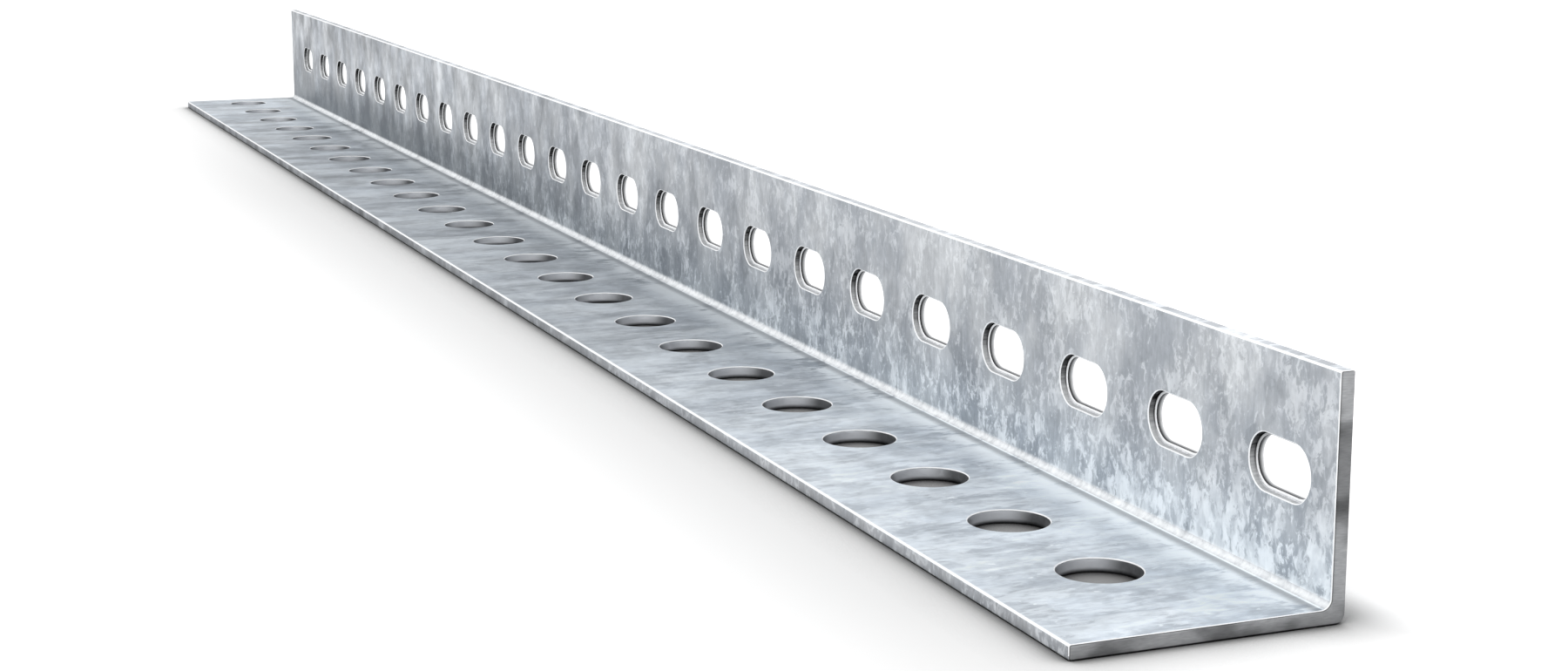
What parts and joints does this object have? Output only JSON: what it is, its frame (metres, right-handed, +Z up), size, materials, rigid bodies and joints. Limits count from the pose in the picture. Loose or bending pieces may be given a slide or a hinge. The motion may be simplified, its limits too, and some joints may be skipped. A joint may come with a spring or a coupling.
{
  "type": "slotted angle",
  "caption": "Galvanised steel slotted angle with unequal legs, a row of slots along the upright leg and a row of round holes along the wide leg.",
  "frame": {"origin": "centre of the footprint on the floor: middle of the length, middle of the wide leg, underside of the wide leg", "axes": "+X along the length towards the end nearest the camera in the picture, +Y towards the back of the upright leg, +Z up"},
  "size_m": [0.98, 0.06, 0.05],
  "materials": {
    "galvanised_steel": "hot-dip galvanised, mottled spangle"
  },
  "bodies": {
    "root": {"slotted_angle": "galvanised_steel"}
  },
  "joints": []
}
